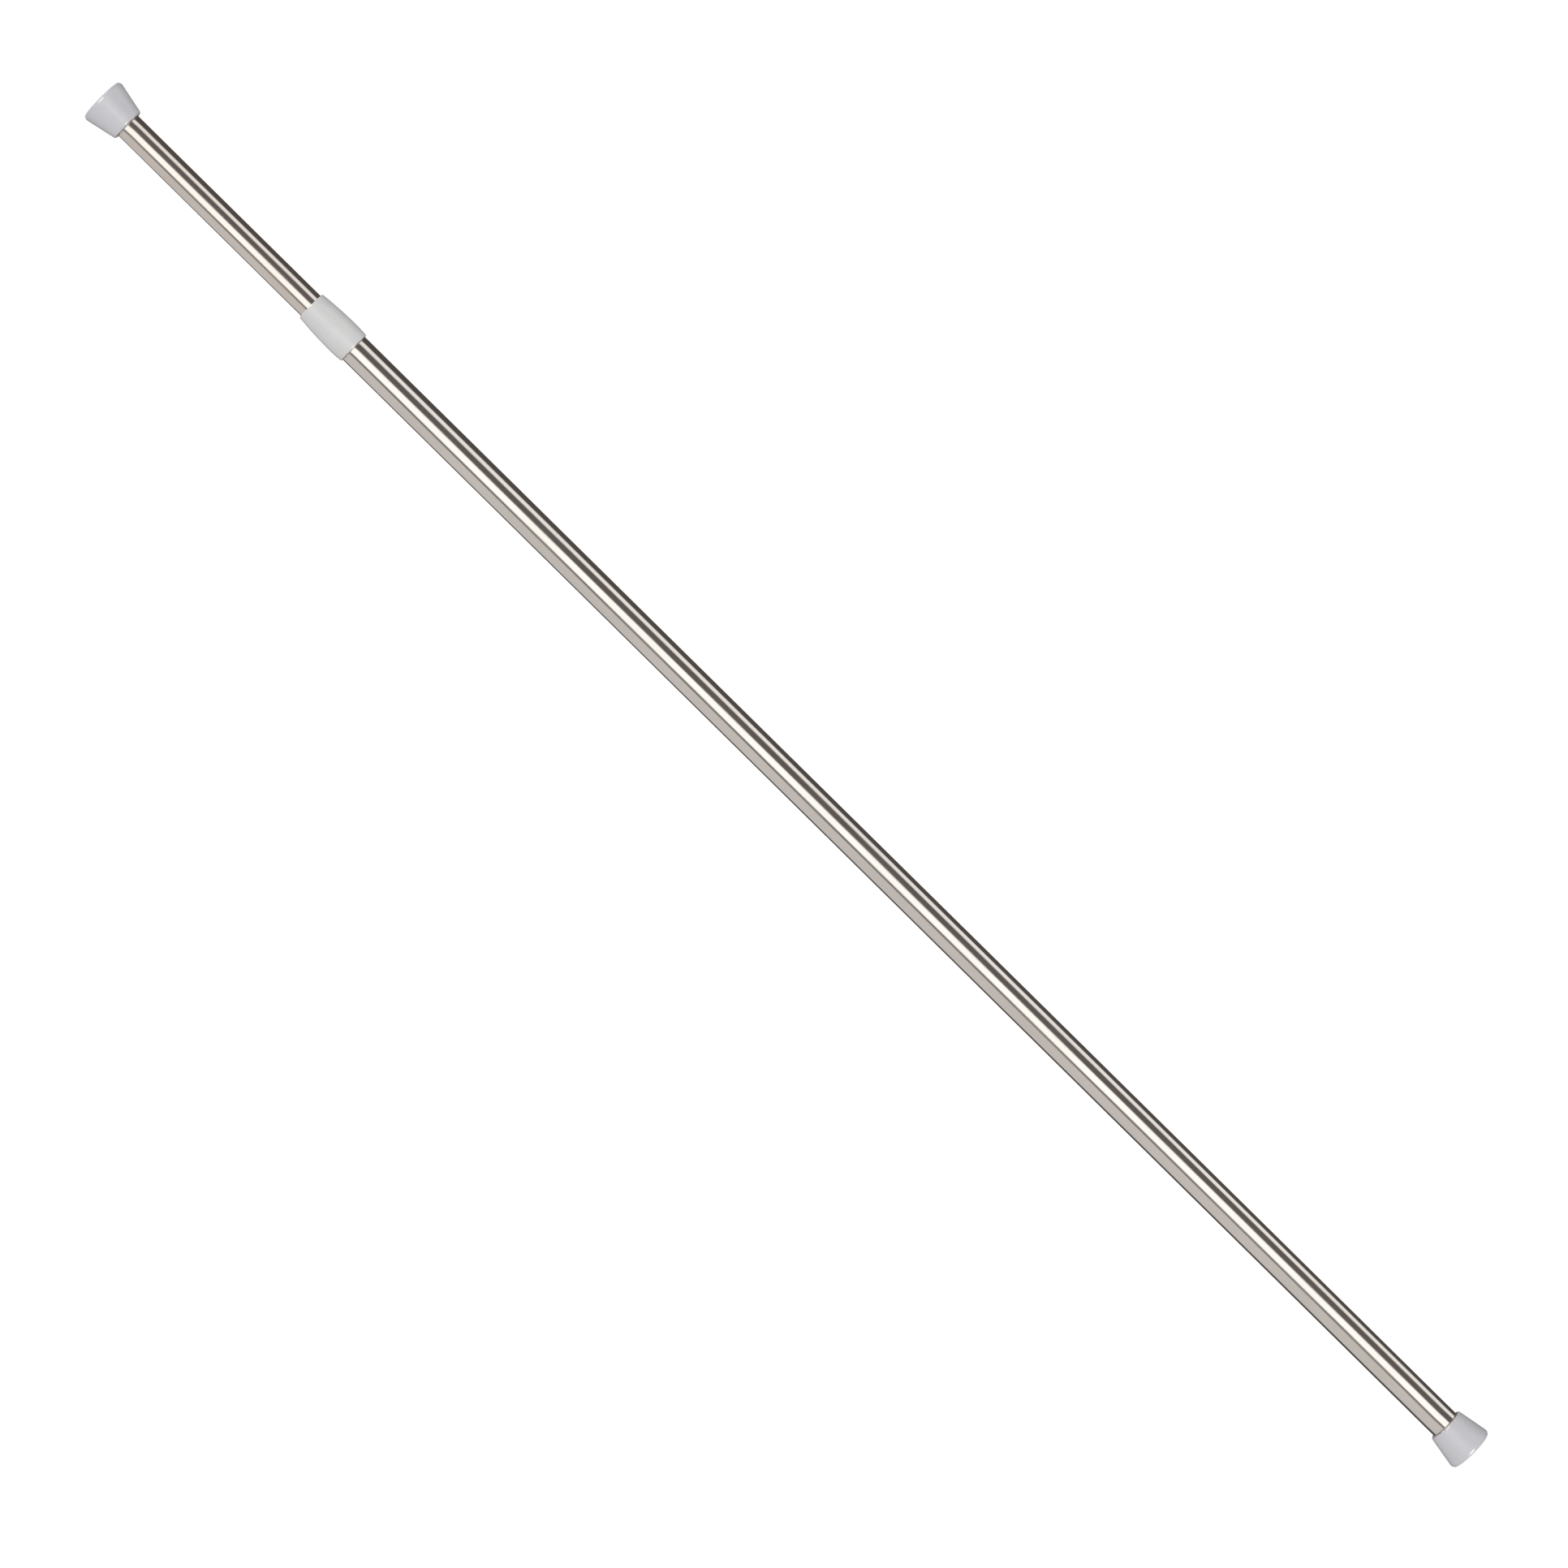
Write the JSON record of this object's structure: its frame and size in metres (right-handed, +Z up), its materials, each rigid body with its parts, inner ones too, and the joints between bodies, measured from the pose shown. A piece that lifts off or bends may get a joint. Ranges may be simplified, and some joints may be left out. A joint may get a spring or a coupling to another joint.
{
  "type": "pull up bar",
  "caption": "Telescopic bar of two polished steel tubes with a grey collar and cone feet, twisted to tighten and lock between two walls or door jambs.",
  "frame": {"origin": "middle of the fixed foot's wall face", "axes": "+X along the bar from the fixed foot to the sliding foot, +Z up when the bar spans a doorway"},
  "size_m": [1.517, 0.04, 0.04],
  "materials": {
    "outer_chrome": "bright polished steel tube, warm grey reflections, faint lengthwise drawing lines",
    "inner_chrome": "bright polished steel tube, slightly duller from sliding",
    "foot_plastic": "semi-matt moulded plastic, cool light grey",
    "collar_plastic": "satin moulded plastic, neutral light grey",
    "pad_rubber": "soft matt rubber, light grey",
    "nylon": "natural white nylon",
    "dark_plastic": "matt black moulded plastic",
    "zinc_steel": "zinc plated steel",
    "brass": "machined brass",
    "black_rubber": "matt black rubber"
  },
  "bodies": {
    "outer_body": {"outer_tube": "outer_chrome", "collar": "collar_plastic", "guide_liner": "nylon", "outer_end_plug": "dark_plastic", "outer_washer": "zinc_steel", "outer_foot": "foot_plastic", "outer_pad": "pad_rubber", "outer_foot_screw": "zinc_steel"},
    "lock_cage": {"jaw_cage": "dark_plastic", "jaw_ring": "black_rubber"},
    "top_jaw": {"jaw_top": "zinc_steel"},
    "left_jaw": {"jaw_left": "zinc_steel"},
    "right_jaw": {"jaw_right": "zinc_steel"},
    "spindle_set": {"spindle": "zinc_steel", "wedge_cone": "zinc_steel", "wedge_pin": "zinc_steel", "travel_stop": "zinc_steel", "end_nut": "zinc_steel"},
    "sliding_foot": {"inner_foot": "foot_plastic", "inner_pad": "pad_rubber", "inner_washer": "zinc_steel"},
    "turning_tube": {"inner_tube": "inner_chrome", "nut_plug": "nylon", "tension_nut": "brass", "inner_end_plug": "dark_plastic", "inner_pivot_screw": "zinc_steel"}
  },
  "joints": [
    {"name": "telescope_slide", "type": "slide", "parent": "outer_body", "child": "lock_cage", "axis": [1, 0, 0], "range_m": [-0.198, 0.744]},
    {"name": "wedge_travel", "type": "slide", "parent": "lock_cage", "child": "spindle_set", "axis": [-1, 0, 0], "range_m": [0, 0.00125]},
    {"name": "jaw_top_spread", "type": "slide", "parent": "lock_cage", "child": "top_jaw", "axis": [0, 0, 1], "range_m": [0, 0.00025]},
    {"name": "jaw_left_spread", "type": "slide", "parent": "lock_cage", "child": "left_jaw", "axis": [0, 0.866, -0.5], "range_m": [0, 0.00025]},
    {"name": "jaw_right_spread", "type": "slide", "parent": "lock_cage", "child": "right_jaw", "axis": [0, -0.866, -0.5], "range_m": [0, 0.00025]},
    {"name": "screw_extension", "type": "slide", "parent": "spindle_set", "child": "sliding_foot", "axis": [1, 0, 0], "range_m": [0, 0.0401]},
    {"name": "tube_twist", "type": "hinge", "parent": "sliding_foot", "child": "turning_tube", "pos_m": [1, 0, 0], "axis": [1, 0, 0], "range_deg": [0, 7200]}
  ],
  "couplings": [
    {"joint": "jaw_top_spread", "follows": "wedge_travel", "ratio": 0.2},
    {"joint": "jaw_left_spread", "follows": "wedge_travel", "ratio": 0.2},
    {"joint": "jaw_right_spread", "follows": "wedge_travel", "ratio": 0.2},
    {"joint": "screw_extension", "follows": "tube_twist", "m_per_rad": 0.00031831}
  ]
}
